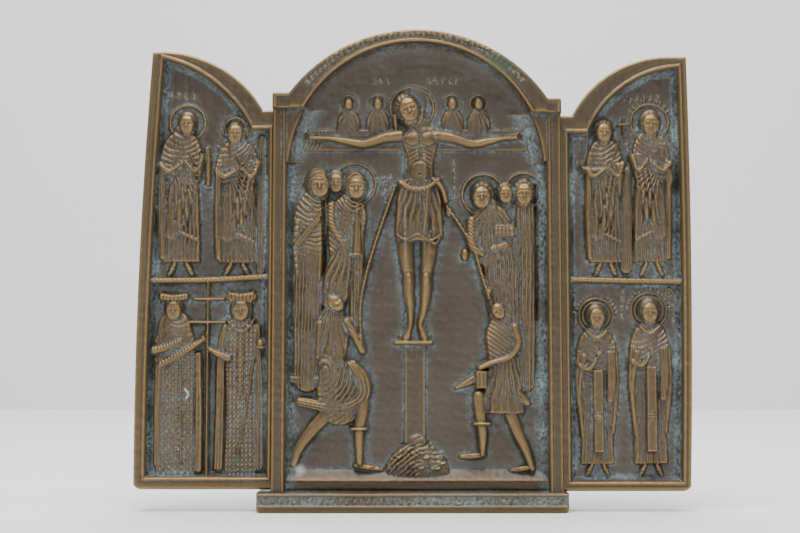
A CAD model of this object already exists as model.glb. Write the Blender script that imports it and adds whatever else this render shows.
import math

import bpy
import numpy as np
from bpy.props import FloatProperty, FloatVectorProperty, PointerProperty
from bpy.types import Operator, Panel, PropertyGroup
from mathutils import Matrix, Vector


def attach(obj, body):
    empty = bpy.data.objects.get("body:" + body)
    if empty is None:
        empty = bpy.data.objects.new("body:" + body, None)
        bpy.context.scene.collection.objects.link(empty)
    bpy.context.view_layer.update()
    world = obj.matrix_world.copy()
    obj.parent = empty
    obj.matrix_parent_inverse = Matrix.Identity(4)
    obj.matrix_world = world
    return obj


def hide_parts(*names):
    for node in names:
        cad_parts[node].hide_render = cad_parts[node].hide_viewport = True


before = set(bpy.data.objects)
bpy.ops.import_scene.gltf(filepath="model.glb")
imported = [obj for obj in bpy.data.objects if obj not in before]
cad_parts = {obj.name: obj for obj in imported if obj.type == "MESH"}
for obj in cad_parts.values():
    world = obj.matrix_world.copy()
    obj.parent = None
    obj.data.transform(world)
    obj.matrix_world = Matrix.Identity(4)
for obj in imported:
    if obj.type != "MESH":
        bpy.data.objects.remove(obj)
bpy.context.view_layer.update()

bl_info = {
    "name": "Triptych plaque",
    "version": (1, 0, 0),
    "blender": (4, 5, 0),
    "location": "3D View > Sidebar > Triptych",
    "description": "A bronze altarpiece plaque: a deep centre, two wings and a base band, in relief",
    "category": "Object",
}

NODE = "triptych_plaque"

# ---- driving sizes, in millimetres. A rise is a height above the back plane ----
MM = 0.001
BACK_Y = 12.0
DEPTH = 24.0
ARCH_RISE = 23.4
GROUND = 13.0
JAMB_RISE = 20.5
WING_RISE = 18.0
WING_BACK = 8.0
CENTRE = (-71.5, 75.0, 1.5)  # left, right, axis
BASE = (-78.0, 77.0, 9.6, 2.6)  # left, right, top, corner
ARCH_OUTER = (1.5, 163.3, 80.0)  # x, z, radius
ARCH_INNER = (1.5, 171.8, 65.0)
ARCH_FLOOR = (1.5, 167.4, 55.6)
BLOCK_TOP = (211.0, 208.0)
BLOCK_FOOT = (203.0, 200.6)
RECESS = (-64.5, 68.0, 7.5, 8.2)  # left, right, cove on the left, cove on the right
HOLLOW = (9.0, 13.0, 5.5)  # margin, bottom, sink
SPLITS = (80.0, 146.0)  # the centre is made in three pieces, one above the other
MARKS = ("pale", "green", "olive", "dark", "golden", "white")


# ---- a carved surface, and the forms that are raised on it ----
def size_of(name):
    """One of the add-on's sizes, in millimetres."""
    return getattr(bpy.context.scene.triptych_size, name) / MM


class Relief:
    """Arrays of x, z and rise in millimetres, and named masks from 0 to 1 for the colours."""

    def __init__(self, x, z, rise):
        self.x, self.z = np.ascontiguousarray(x), np.ascontiguousarray(z)
        self.rise = np.ascontiguousarray(rise)
        self.marks = {name: np.zeros(x.shape) for name in MARKS}
        self.across, self.up = self.x.ravel(), self.z.ravel()
        self.flat = self.rise.ravel()

    def near(self, left, right, low, high):
        """The numbers of the points inside a box."""
        return np.flatnonzero((self.across > left) & (self.across < right)
                              & (self.up > low) & (self.up < high))

    def stain(self, name, where, amount):
        """Deepens a mask to an amount, and never takes any of it away."""
        mask = self.marks[name].ravel()
        mask[where] = np.maximum(mask[where], np.clip(amount, 0, 1))
        self.marks[name] = mask.reshape(self.x.shape)


def smooth_path(rows, steps=5):
    """A Catmull-Rom curve through rows of numbers: a cubic between each two rows, whose slope at
    a row is half the difference of its neighbours."""
    rows = np.asarray(rows, float)
    if len(rows) < 3:
        return rows
    padded = np.vstack([2 * rows[0] - rows[1], rows, 2 * rows[-1] - rows[-2]])
    t = np.linspace(0, 1, steps, endpoint=False)[:, None]
    runs = []
    for a, b, c, d in zip(padded[:-3], padded[1:-2], padded[2:-1], padded[3:]):
        runs.append(0.5 * (2 * b + (c - a) * t + (2 * a - 5 * b + 4 * c - d) * t ** 2
                           + (3 * b - a - 3 * c + d) * t ** 3))
    return np.vstack(runs + [rows[-1:]])


def follow(r, rows, spare=0.0):
    """Measures points against a path: the nearest leg gives the share of the way along, the
    signed distance to the path's left, the half width and height there, and the distance past
    an end."""
    path = smooth_path(rows)
    reach = path[:, 2].max() + spare
    where = r.near(path[:, 0].min() - reach, path[:, 0].max() + reach,
                   path[:, 1].min() - reach, path[:, 1].max() + reach)
    x, z = r.across[where], r.up[where]
    best = np.full(x.shape, np.inf)
    share, off, past = np.zeros(x.shape), np.zeros(x.shape), np.zeros(x.shape)
    for k in range(len(path) - 1):
        leg = path[k + 1, :2] - path[k, :2]
        length = max(math.hypot(leg[0], leg[1]), 1e-6)
        raw = ((x - path[k, 0]) * leg[0] + (z - path[k, 1]) * leg[1]) / length
        t = np.clip(raw, 0, length)
        side = (leg[0] * (z - path[k, 1]) - leg[1] * (x - path[k, 0])) / length
        distance = np.hypot(raw - t, side)
        closer = distance < best
        best = np.where(closer, distance, best)
        share = np.where(closer, k + t / length, share)
        off = np.where(closer, side, off)
        past = np.where(closer, np.abs(raw - t), past)
    steps = np.arange(len(path))
    half = np.interp(share, steps, path[:, 2])
    height = np.interp(share, steps, path[:, 3])
    return where, x, z, share / steps[-1], off, half, height, past


def quarter_round(inset, width):
    """0 at an edge and 1 from a width inside it on, with a quarter circle between."""
    s = np.clip(inset / width, 0, 1)
    return np.sqrt(s * (2 - s))


def band(r, rows, cloth=None, depth=0.8, crown=0.35, square=False, edge=0.8, sink=False, mark=None):
    """Raises (or sinks) a band along a path of [x, z, half width, height above the ground].
    Across, it is a low vault, height times 1 - crown u squared, rounded off at its edges. cloth
    gives 1 on a fold's crest and 0 in its groove, and the groove is that depth lower."""
    where, x, z, share, off, half, height, past = follow(r, rows)
    reach = np.abs(off) / half if square else np.hypot(off, past) / half
    inside = (reach < 1) & (past < (0.25 if square else np.inf))
    where, x, z, share, off, half, height, reach = (v[inside] for v in (where, x, z, share, off,
                                                                      half, height, reach))
    body = height * (1 - crown * reach ** 2)
    if cloth is not None:
        body = body - depth * (1 - cloth(x, z, off / half, share))
    shape = body * quarter_round((1 - reach) * half, np.minimum(edge, half))
    if sink:
        r.flat[where] -= shape
    else:
        r.flat[where] = np.maximum(r.flat[where], GROUND + shape)
    if mark:
        r.stain(mark, where, quarter_round((1 - reach) * half, 0.6))


def line(r, points, half=0.6, height=0.6, mark=None):
    """Adds a thin rounded ridge along points, or with a height below 0 cuts a groove. Its
    section is a cosine bell."""
    rows = [[x, z, half * 1.6, 1.0] for x, z in points]
    where, _, _, _, off, half_here, _, past = follow(r, rows)
    reach = np.hypot(off, past) / half_here
    bell = np.where(reach < 1, 0.5 + 0.5 * np.cos(np.pi * np.minimum(reach, 1)), 0)
    r.flat[where] += height * bell
    if mark:
        r.stain(mark, where, bell)


def strayed(x, z):
    """A place moved a little by slow sine waves, so that folds wander as cut ones do."""
    return (x + 0.35 * np.sin(0.31 * z + 0.23 * x) + 0.16 * np.sin(0.73 * z - 0.4 * x + 1.3),
            z + 0.45 * np.sin(0.27 * x + 0.11 * z + 0.6) + 0.2 * np.sin(0.8 * x + 0.21 * z))


def worn(pattern, x, z):
    """Folds that fade and deepen from place to place, and are broken by finer ones."""
    depth = 0.62 + 0.38 * np.sin(0.21 * x + 0.13 * z + 1.1 * np.sin(0.17 * z - 0.3 * x))
    finer = np.abs(np.sin(1.9 * x + 0.5 * z + 1.4 * np.sin(0.5 * z + 0.8 * x)))
    return 1 - (1 - pattern) * depth - 0.22 * (1 - finer)


def pleats(count, sway=0.25, lean=0.0, phase=0.0):
    """Folds that run along a band: rounded crests with sharp grooves, the absolute sine across."""
    def fold(x, z, u, share):
        drift = (strayed(x, z)[0] - x) * 0.09 * count
        turn = 0.5 * np.pi * count * (u + 1 + lean * share) + sway * np.sin(9 * share + phase) + drift
        return worn(np.abs(np.sin(turn + phase)) ** 0.75, x, z)
    return fold


def fan(x0, z0, count, phase=0.0):
    """Folds that spread from a point: so many in half a turn."""
    def fold(x, z, u, share):
        wx, wz = strayed(x, z)
        angle = np.arctan2(wz - z0, wx - x0)
        return worn(np.abs(np.sin(count * angle + phase)) ** 0.75, x, z)
    return fold


def rings(x0, z0, pitch, phase=0.0, squash=1.0):
    """Folds that hang in arcs round a point, a pitch apart."""
    def fold(x, z, u, share):
        wx, wz = strayed(x, z)
        slant = 0.5 * (x - x0) * math.sin(2.0 * x0 + 1.0)
        radius = np.hypot(wx - x0, (wz - z0) * squash) + slant
        return worn(np.abs(np.sin(np.pi * radius / pitch + phase)) ** 0.75, x, z)
    return fold


def hatch(pitch, turn=0.0, phase=0.0):
    """Straight folds a pitch apart, across a direction turned up from the x axis."""
    def fold(x, z, u, share):
        return np.abs(np.sin(np.pi * (x * math.cos(turn) + z * math.sin(turn)) / pitch + phase)) ** 0.75
    return fold


def lattice(pitch, phase=0.0):
    """Small lozenges in rows: the product of two slanting hatches."""
    def fold(x, z, u, share):
        a = np.abs(np.sin(np.pi * (x + z) / pitch + phase))
        b = np.abs(np.sin(np.pi * (x - z) / pitch))
        return (a * b) ** 0.6
    return fold


def dots(pitch_x, pitch_z, x0=0.0, z0=0.0):
    """Round dots in rows and columns."""
    def fold(x, z, u, share):
        return np.abs(np.sin(np.pi * (x - x0) / pitch_x) * np.sin(np.pi * (z - z0) / pitch_z))
    return fold


def dome(r, x, z, half_x, half_z, height, tilt=0.0, cloth=None, depth=0.5, add=False, power=0.5):
    """Half an egg: height times (1 - radius squared) to a power. A positive tilt leans its top to
    the left. With add it stands on what is there already."""
    reach = max(half_x, half_z)
    where = r.near(x - reach, x + reach, z - reach, z + reach)
    px, pz = r.across[where], r.up[where]
    a = ((px - x) * math.cos(tilt) + (pz - z) * math.sin(tilt)) / half_x
    b = ((pz - z) * math.cos(tilt) - (px - x) * math.sin(tilt)) / half_z
    level = 1 - a * a - b * b
    inside = level > 0
    where, px, pz, a, b, level = (v[inside] for v in (where, px, pz, a, b, level))
    shape = height * level ** power
    if cloth is not None:
        shape = shape - depth * (1 - cloth(px, pz, a, b)) * level ** 0.5
    if add:
        r.flat[where] += shape
    else:
        r.flat[where] = np.maximum(r.flat[where], GROUND + shape)


def ring(r, x, z, radius, half=0.85, height=1.3, beads=0, add=False):
    """A thin raised ring, rounded in section. beads are small knobs along it."""
    reach = radius + half
    where = r.near(x - reach, x + reach, z - reach, z + reach)
    px, pz = r.across[where] - x, r.up[where] - z
    u = np.clip(np.abs(np.hypot(px, pz) - radius) / half, 0, 1)
    shape = height * np.sqrt(1 - u * u)
    if beads:
        shape = shape * (0.45 + 0.55 * np.abs(np.sin(0.5 * beads * np.arctan2(pz, px))))
    if add:
        r.flat[where] += shape
    else:
        r.flat[where] = np.where(u < 1, np.maximum(r.flat[where], GROUND + shape), r.flat[where])


def rays(r, x, z, inner, outer, count, start, end, height=0.9, half=0.5):
    """Short strokes that point at a centre, spaced evenly between two angles."""
    for angle in np.linspace(start, end, count):
        c, s = math.cos(angle), math.sin(angle)
        band(r, [[x + inner * c, z + inner * s, half, height], [x + outer * c, z + outer * s, half,
                                                               height]], crown=0)


def strokes(r, places, seed, length=2.4, rise=0.55, half=0.42, spread=1.0):
    """Worn writing as marks that aren't letters: at each place, one long stroke and one or two
    short ones at its side, leaning by a seeded random amount. A place is [x, z, turn]."""
    chance = np.random.default_rng(seed)
    for x, z, turn in places:
        lean = turn + chance.uniform(-0.35, 0.35)
        tall = length * chance.uniform(0.7, 1.05)
        up = (-math.sin(lean), math.cos(lean))
        side = (math.cos(turn), math.sin(turn))
        line(r, [(x - up[0] * tall / 2, z - up[1] * tall / 2), (x + up[0] * tall / 2,
                                                              z + up[1] * tall / 2)], half, rise, "pale")
        for _ in range(chance.integers(1, 3)):
            level = chance.uniform(-0.42, 0.42) * tall
            out = chance.uniform(0.7, 1.3) * spread * chance.choice((-1, 1))
            foot = (x + up[0] * level, z + up[1] * level)
            drop = chance.uniform(-0.5, 0.5)
            line(r, [foot, (foot[0] + side[0] * out + up[0] * drop,
                            foot[1] + side[1] * out + up[1] * drop)], half, rise, "pale")


# ---- heads, hands and feet ----
def bump(a, b, at_a, at_b, wide, tall):
    """A soft mound: a Gaussian bell round a point."""
    return np.exp(-((a - at_a) / wide) ** 2 - ((b - at_b) / tall) ** 2)


def head(r, x, z, size, lift=4.6, turn=0.0, tilt=0.0, hair="cap", beard=0.0, seed=0.0):
    """A head, worked out in its own frame, where its half height is 1. The skull is an egg with
    hair in waves, curls or a veil; the face is a smaller egg in front of it, to which mounds are
    added for the brow, eyes, nose, lips and chin; the beard is a third egg in strands."""
    reach = size * (1.25 + beard)
    where = r.near(x - reach, x + reach, z - reach, z + reach)
    px, pz = r.across[where] - x, r.up[where] - z
    a = (px * math.cos(tilt) + pz * math.sin(tilt)) / size
    b = (pz * math.cos(tilt) - px * math.sin(tilt)) / size
    skull = 1 - (a / 0.8) ** 2 - b ** 2
    middle = a - turn
    outward = np.hypot(middle, b + 0.1)
    if hair == "veil":
        skull = 1 - (a / 0.84) ** 2 - (np.minimum(b - 0.05, 0) / 1.35) ** 2 - (np.maximum(b, 0) / 1.02) ** 2
        lines = np.abs(np.sin(np.pi * outward / 0.2 + seed)) ** 0.8
        depth = 0.5
    elif hair == "curls":
        angle = np.arctan2(b + 0.1, middle)
        lines = np.abs(np.sin(7 * angle + seed) * np.sin(np.pi * outward / 0.24))
        depth = 0.9
    elif hair == "waves":
        lines = np.abs(np.sin(9 * np.arctan2(b + 0.1, middle) + 5 * outward + seed)) ** 0.8
        depth = 0.6
    else:
        lines = np.abs(np.sin(np.pi * outward / 0.17 + 0.8 * np.sin(5 * a) + seed)) ** 0.8
        depth = 0.45
    covered = np.clip(skull, 0, 1) ** 0.45
    shape = np.where(skull > 0, covered * lift * 0.86 - depth * (1 - lines) * covered, 0)
    fa, fb = middle / 0.56, (b + 0.16) / 0.72
    face = 1 - fa ** 2 - fb ** 2
    if beard:
        strands = np.abs(np.sin(6 * np.arctan2(b + 0.25, middle) + 3 * outward + seed)) ** 0.8
        drop = b + 0.62 + 0.5 * beard
        chin = 1 - (middle / 0.6) ** 2 - (drop / (0.42 + 0.5 * beard)) ** 2
        cover = np.clip(chin, 0, 1) ** 0.4
        shape = np.maximum(shape, np.where(chin > 0, cover * lift * 0.98 - 0.6 * (1 - strands) * cover, 0))
    k = size / 7.0
    detail = (0.35 * bump(fa, fb, 0, 0.5, 0.8, 0.16) + 0.45 * bump(np.abs(fa), fb, 0.42, 0.24, 0.3, 0.07)
              - 0.65 * bump(np.abs(fa), fb, 0.42, 0.04, 0.26, 0.13)
              + 0.6 * bump(np.abs(fa), fb, 0.42, 0.04, 0.17, 0.07)
              + 0.25 * bump(np.abs(fa), fb, 0.5, -0.3, 0.22, 0.2)
              + 0.45 * bump(fa, fb, 0, -0.47, 0.3, 0.06) + 0.4 * bump(fa, fb, 0, -0.6, 0.24, 0.05)
              - 0.3 * bump(fa, fb, 0, -0.54, 0.26, 0.03) + 0.3 * bump(fa, fb, 0, -0.82, 0.24, 0.12))
    bridge = np.clip((0.26 - fb) / 0.5, 0, 1) * (fb > -0.3)
    detail = detail + (0.35 + 0.85 * bridge) * np.exp(-(fa / (0.13 + 0.07 * bridge)) ** 2) * (
        (fb < 0.28) & (fb > -0.3))
    front = lift * (0.84 + 0.24 * np.sqrt(np.clip(face, 0, 1))) + detail * k * np.clip(face * 3, 0, 1)
    shape = np.where(face > 0.0, np.maximum(front, 0), shape)
    inside = shape > 0
    r.flat[where[inside]] = np.maximum(r.flat[where[inside]], GROUND + shape[inside])
    r.stain("golden", where, 0.75 * np.clip(face * 4, 0, 1))


def hand(r, x, z, angle, size=2.4, height=5.0, spread=0.5):
    """A hand: a low egg for the palm, and four fingers and a thumb as short bands."""
    c, s = math.cos(angle), math.sin(angle)
    dome(r, x, z, size, size * 0.85, height, tilt=angle)
    for k, side in enumerate((-1.5, -0.5, 0.5, 1.5)):
        lean = angle + spread * 0.25 * side
        fx, fz = math.cos(lean), math.sin(lean)
        out = (x - s * side * size * 0.36, z + c * side * size * 0.36)
        reach = size * (2.0 if k in (1, 2) else 1.75)
        band(r, [[out[0] + fx * size * 0.4, out[1] + fz * size * 0.4, size * 0.23, height * 0.98],
                 [out[0] + fx * reach, out[1] + fz * reach, size * 0.19, height * 0.8]], crown=0.2)


def foot(r, x, z, toe_x, toe_z, half=1.9, height=3.6):
    """A foot: a wedge from the ankle to the toes, with two lines of a sandal across it."""
    band(r, [[x, z, half * 0.8, height], [(x + toe_x) / 2, (z + toe_z) / 2, half, height * 0.92],
             [toe_x, toe_z, half * 0.75, height * 0.55]], crown=0.5)
    for share in (0.35, 0.7):
        mx, mz = x + (toe_x - x) * share, z + (toe_z - z) * share
        line(r, [(mx - half * 0.7, mz + 0.3), (mx + half * 0.7, mz + 0.3)], 0.35, -0.4)


# ---- the standing figures ----
def saint(r, x, low, high, width, sweep, face, size, lift=3.3, beard=0.25, halo=0.0, hair="cap", seed=0.0):
    """A saint in a pleated tunic, with a mantle that is drawn across the body to one side: a low
    tunic, a mantle over the chest in hanging arcs, and a wrap that falls from the hip in a fan."""
    tall = high - low

    def at(across, share, half, height):
        return [x + across * width * sweep, low + share * tall, half * width, height * lift]

    hip = at(0.22, 0.56, 0, 0)
    band(r, [at(0.0, 0.55, 0.4, 1.0), at(-0.02, 0.3, 0.42, 0.95), at(-0.02, 0.07, 0.44, 0.85)],
         pleats(9, 0.2, phase=seed), 1.2, crown=0.2, square=True)
    band(r, [at(0.43, 0.64, 0.1, 1.25), at(0.44, 0.35, 0.1, 1.1), at(0.42, 0.1, 0.09, 1.0)],
         pleats(3, 0.3, phase=seed), 0.8)
    band(r, [at(0, 0.86, 0.2, 0.9), at(0, 0.81, 0.38, 1.15), at(0, 0.7, 0.5, 1.3),
             at(0.02, 0.6, 0.45, 1.2), at(0.04, 0.54, 0.36, 1.0)],
         rings(face, low + 0.9 * tall, 2.5, phase=seed), 0.9, crown=0.3)
    band(r, [at(-0.3, 0.7, 0.14, 1.3), at(-0.08, 0.55, 0.3, 1.45), at(0.1, 0.38, 0.33, 1.45),
             at(0.22, 0.25, 0.2, 1.25)],
         fan(hip[0], hip[1] + 0.1 * tall, 17, phase=seed), 1.3, crown=0.25)
    band(r, [at(-0.4, 0.2, 0.045, 0.95), at(-0.1, 0.235, 0.06, 1.15), at(0.3, 0.29, 0.05, 1.0)],
         hatch(1.9, 0.2), 0.7, crown=0.4)
    for k in range(3):
        line(r, [(x + sweep * width * (-0.36 + 0.13 * k), low + tall * 0.62),
                 (x + sweep * width * (-0.16 + 0.15 * k), low + tall * (0.28 + 0.02 * k))], 0.5, -0.8)
    band(r, [at(0.47, 0.66, 0.1, 1.5), at(0.3, 0.62, 0.09, 1.65), at(0.05, 0.655, 0.075, 1.7)],
         hatch(1.5, 1.1), 0.4, crown=0.45)
    band(r, [at(-0.47, 0.7, 0.1, 1.45), at(-0.33, 0.62, 0.085, 1.6), at(-0.1, 0.68, 0.06, 1.65)],
         hatch(1.5, 2.0), 0.4, crown=0.45)
    hand(r, x - 0.02 * width * sweep, low + 0.665 * tall, math.pi / 2 + 0.3 * sweep, 1.5, 1.7 * lift)
    neck = low + 0.87 * tall
    band(r, [[face, neck, 0.14 * width, lift], [face, neck - 0.05 * tall, 0.2 * width, lift * 1.1]],
         rings(face, neck + 4, 1.6), 0.5)
    for side in (-1, 1):
        foot(r, x + 0.14 * side * width, low + 0.055 * tall, x + 0.27 * side * width, low - 0.01 * tall,
             1.7, 2.6)
    if halo:
        ring(r, face, high - size, halo, 0.8, 1.2, beads=int(5.2 * halo))
    head(r, face, high - size * 1.02, size, lift * 1.45, beard=beard, hair=hair, seed=seed)


def bishop(r, x, low, high, width, size, halo, lift=3.3, seed=0.0):
    """A bishop: a cape that falls from both arms in arcs over a long plain robe, a stole in the
    middle with a small outlined cross, and a cloth that hangs from the arm."""
    tall = high - low

    def at(across, share, half, height):
        return [x + across * width, low + share * tall, half * width, height * lift]

    band(r, [at(0, 0.62, 0.36, 0.9), at(0, 0.3, 0.37, 0.9), at(0, 0.06, 0.4, 0.8)],
         pleats(10, 0.12, phase=seed), 0.9, crown=0.15, square=True)
    band(r, [at(-0.38, 0.7, 0.11, 1.15), at(-0.42, 0.5, 0.1, 1.0), at(-0.34, 0.22, 0.06, 0.9)],
         pleats(3, 0.3), 0.8)
    band(r, [at(0.4, 0.7, 0.11, 1.15), at(0.43, 0.5, 0.1, 1.0), at(0.36, 0.24, 0.06, 0.9)],
         pleats(3, 0.3), 0.8)
    band(r, [at(0, 0.85, 0.2, 0.9), at(0, 0.8, 0.38, 1.15), at(0, 0.7, 0.49, 1.25),
             at(0, 0.62, 0.44, 1.15), at(0, 0.55, 0.3, 0.95)],
         rings(x, low + 0.87 * tall, 2.3, phase=seed), 0.9)
    band(r, [at(0.02, 0.6, 0.13, 1.4), at(0.02, 0.13, 0.13, 1.35)], crown=0.08, square=True, edge=0.5)
    cross_z = low + 0.33 * tall
    for half_x, half_z in ((0.55, 2.6), (2.0, 0.55)):
        for side in (-1, 1):
            if half_x < half_z:
                edge_x = x + 0.4 + side * half_x
                line(r, [(edge_x, cross_z - half_z), (edge_x, cross_z + half_z)], 0.32, 0.5, "pale")
            else:
                level = cross_z + side * half_z
                line(r, [(x + 0.4 - half_x, level), (x + 0.4 + half_x, level)], 0.32, 0.5, "pale")
    for k in range(5):
        line(r, [(x - 2 + 1.2 * k, low + 0.13 * tall), (x - 2 + 1.2 * k, low + 0.07 * tall)], 0.4, 0.9)
    band(r, [at(0.3, 0.69, 0.13, 1.45), at(0.33, 0.55, 0.12, 1.4), at(0.29, 0.43, 0.1, 1.25)],
         pleats(4, 0.1), 0.6, crown=0.2)
    band(r, [at(-0.3, 0.68, 0.1, 1.4), at(-0.4, 0.55, 0.07, 1.15), at(-0.42, 0.43, 0.045, 1.0)],
         pleats(2, 0.1), 0.6)
    band(r, [at(-0.4, 0.63, 0.09, 1.4), at(-0.2, 0.61, 0.08, 1.55), at(-0.04, 0.66, 0.07, 1.6)],
         hatch(1.5, 0.8), 0.4)
    hand(r, x + 0.5, low + 0.69 * tall, math.pi / 2, 1.7, 1.6 * lift)
    hand(r, x - 0.25 * width, low + 0.63 * tall, 0.6, 1.5, 1.5 * lift)
    band(r, [at(-0.22, 0.83, 0.06, 1.25), at(0, 0.79, 0.07, 1.4), at(0.22, 0.83, 0.06, 1.25)], crown=0.4)
    for side in (-1, 1):
        foot(r, x + 0.14 * side * width, low + 0.05 * tall, x + 0.25 * side * width, low - 0.005 * tall,
             1.6, 2.4)
    for radius in (halo, halo - 1.9):
        ring(r, x, high - size, radius, 0.6, 1.2)
    rays(r, x, high - size, halo + 0.9, halo + 2.2, 15, 0.15, math.pi - 0.15, 0.7, 0.42)
    head(r, x, high - size * 1.02, size, lift * 1.4, beard=0.22, hair="cap", seed=seed)


def left_upper(r):
    """The two saints of the left wing, above its bar."""
    saint(r, -118, 119.5, 203, 22, -1, -115.4, 6.5, halo=9.0, beard=0.2, seed=0.3)
    saint(r, -89.5, 119.5, 198.5, 22, -1, -90.6, 6.8, beard=0.2, hair="waves", seed=1.4)
    for x, turn in ((-110.2, 0.0), (-87.2, 0.15)):
        for k in range(4):
            rows = [[x - 3.2 + 0.4 * k, 180 - 3.1 * k, 0.7, 5.2], [x + 0.4, 174.5 - 3.0 * k, 0.8, 5.6],
                    [x + 3.6 - 0.4 * k, 180 - 3.1 * k, 0.7, 5.2]]
            band(r, rows, crown=0.5)
    band(r, [[-97, 190, 0.9, 3.6], [-95.5, 196, 0.9, 3.6], [-90.5, 198.8, 0.9, 3.6], [-86, 196, 0.9, 3.6],
             [-84.4, 190, 0.9, 3.4]])
    band(r, [[-105, 183, 1.5, 2.8], [-104.6, 174, 1.7, 3.0], [-104.4, 165, 1.4, 2.6]], pleats(2), 0.6)
    band(r, [[-77.2, 188, 2.4, 2.2], [-77, 150, 2.9, 2.4], [-77.4, 121, 2.5, 2.0]], pleats(4, 0.15), 0.9)
    line(r, [(-99.6, 184), (-100.2, 160), (-100, 138)], 0.6, 0.7)
    chance = np.random.default_rng(5)
    strokes(r, [(x, 210.3 + chance.uniform(-0.5, 0.5), 0) for x in (-124, -120.4, -116.6, -112.6)], 11, 3)
    strokes(r, [(-79.6, z, 0) for z in (181, 176, 171)], 12, 2.6)


def right_upper(r):
    """The two saints of the right wing, above its bar."""
    saint(r, 97.5, 119.5, 199, 19, -1, 97.2, 6.7, beard=0.3, hair="curls", seed=0.9)
    saint(r, 121, 119.5, 204, 20, 1, 121, 7.4, halo=9.6, beard=0.3, hair="cap", seed=2.0)
    band(r, [[109, 172, 2.2, 3.0], [108.4, 150, 3.2, 3.0], [108, 122, 3.2, 2.7]], pleats(5, 0.1), 0.9)
    band(r, [[104.4, 173.5, 2.7, 5.0], [104.6, 166, 2.0, 4.8], [104.8, 159, 0.9, 4.4]], pleats(3), 0.6)
    band(r, [[99, 172.5, 2.2, 5.0], [92, 171.6, 1.8, 5.0], [86.5, 172.8, 1.3, 4.4]], hatch(1.6, 0.3), 0.5)
    hand(r, 86.6, 173, math.pi * 0.9, 1.2, 4.2)
    band(r, [[100.6, 176, 0.8, 4.6], [104.6, 187, 0.8, 4.4]])
    band(r, [[107.4, 191, 0.8, 3.6], [107.4, 198.4, 0.8, 3.6]])
    band(r, [[104.6, 195.2, 0.8, 3.6], [110.2, 195.6, 0.8, 3.6]])
    band(r, [[129, 176, 1.8, 4.2], [130.6, 168, 2.0, 4.2], [129.4, 161, 1.4, 3.8]], pleats(3), 0.6)
    rays(r, 121, 196.6, 10.4, 12.2, 9, 0.55, math.pi - 0.55, 0.8, 0.45)
    strokes(r, [(x, 209.2 + 0.4 * math.sin(x), 0) for x in (108, 111.4, 115, 118.4, 122, 125.2)], 21, 3)
    strokes(r, [(84, z, 0) for z in (181, 175.5, 170)], 22, 2.8)
    strokes(r, [(109.5, z, 0) for z in (186, 181.5)], 23, 2.4)


def jewelled(pitch, turn=0.0):
    """A patterned cloth: rows of small lozenges between raised cross bars."""
    net, bars = lattice(pitch, turn), hatch(pitch * 2.6, math.pi / 2)
    return lambda x, z, u, share: np.clip(0.75 * net(x, z, u, share) + 0.3 * bars(x, z, u, share), 0, 1)


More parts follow.
